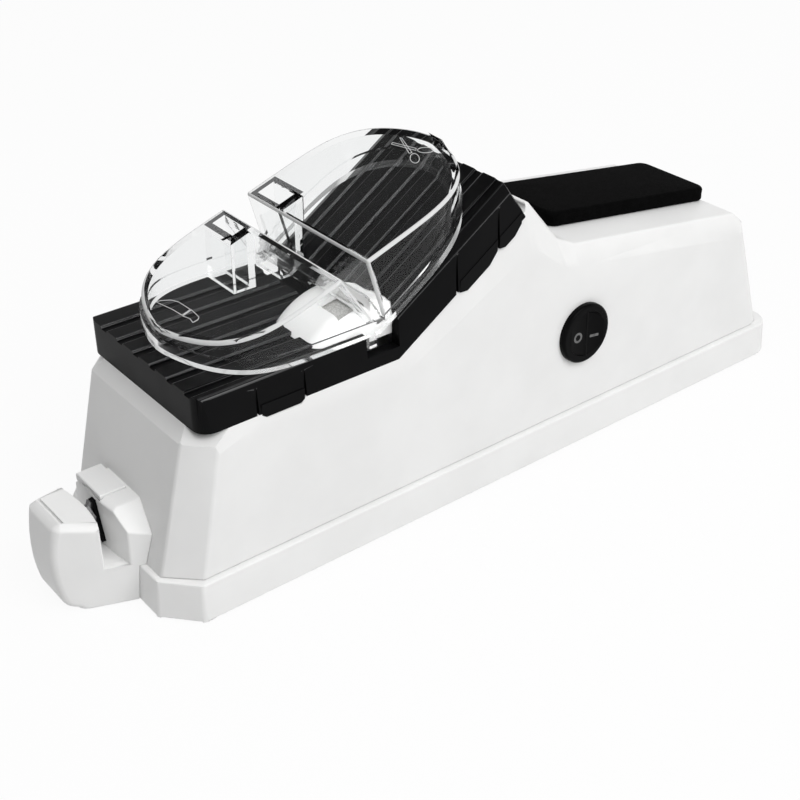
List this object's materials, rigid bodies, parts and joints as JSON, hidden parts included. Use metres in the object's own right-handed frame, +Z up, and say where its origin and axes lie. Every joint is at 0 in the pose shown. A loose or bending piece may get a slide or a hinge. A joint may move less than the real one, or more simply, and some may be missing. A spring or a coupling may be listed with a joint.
{
  "type": "electric knife sharpener",
  "caption": "Tabletop electric knife sharpener: white housing, ribbed black cover, clear slotted blade guard over a grinding wheel, hand slot on the nose, rear pad and round rocker switch.",
  "frame": {"origin": "on the table, under the middle of the whole outline", "axes": "+X from the nose to the rear pad, +Z up, the switch is on the -Y side"},
  "size_m": [0.255, 0.0666, 0.0981],
  "materials": {
    "white_plastic": "satin",
    "black_plastic": "satin",
    "clear_plastic": "polished",
    "pad_foam": "matt",
    "switch_plastic": "gloss",
    "abrasive": "grainy",
    "grey_plastic": "satin",
    "steel": "brushed",
    "brass_tag": "plain",
    "iron_core": "dull",
    "cell_jacket": "gloss",
    "foot_rubber": "matt",
    "lead_insulation": "plain"
  },
  "bodies": {
    "housing": {"base_tray": "white_plastic", "battery_far_front": "cell_jacket", "battery_far_rear": "cell_jacket", "battery_lead": "lead_insulation", "battery_near_front": "cell_jacket", "battery_near_rear": "cell_jacket", "carbide_blades": "steel", "contact_plates": "steel", "contact_springs": "steel", "cradle_screws": "steel", "foot_front_far": "foot_rubber", "foot_front_near": "foot_rubber", "foot_rear_far": "foot_rubber", "foot_rear_near": "foot_rubber", "housing_screws": "steel", "motor_can": "steel", "motor_cradle": "steel", "motor_end_cap": "grey_plastic", "motor_lead": "lead_insulation", "motor_magnets": "iron_core", "motor_screws": "steel", "motor_terminals": "brass_tag", "nose_block": "white_plastic", "nose_cap": "white_plastic", "nose_slot_liner": "black_plastic", "rear_pad": "pad_foam", "ribbed_cover": "black_plastic", "switch_bezel": "switch_plastic", "switch_body": "switch_plastic", "switch_lead": "lead_insulation", "switch_terminals": "brass_tag", "upper_housing": "white_plastic", "wheel_hood": "white_plastic"},
    "guard": {"blade_guard": "clear_plastic"},
    "wheel": {"grinding_wheel": "abrasive", "wheel_hub": "grey_plastic", "wheel_clip": "steel", "motor_shaft": "steel", "motor_armature": "iron_core"},
    "rocker": {"switch_rocker": "switch_plastic"},
    "door": {"battery_door": "grey_plastic"}
  },
  "joints": [
    {"name": "rocker_tilt", "type": "hinge", "parent": "housing", "child": "rocker", "pos_m": [0.0355, -0.03097, 0.03733], "axis": [0, 0.031, 0.9995], "range_deg": [0, 14]},
    {"name": "wheel_spin", "type": "hinge", "parent": "housing", "child": "wheel", "pos_m": [-0.04, 0, 0.046], "axis": [0, 1, 0], "continuous": true},
    {"name": "guard_lift", "type": "slide", "parent": "housing", "child": "guard", "axis": [0, 0, 1], "range_m": [0, 0.045]},
    {"name": "door_release", "type": "slide", "parent": "housing", "child": "door", "axis": [0, 0, -1], "range_m": [0, 0.03]}
  ]
}
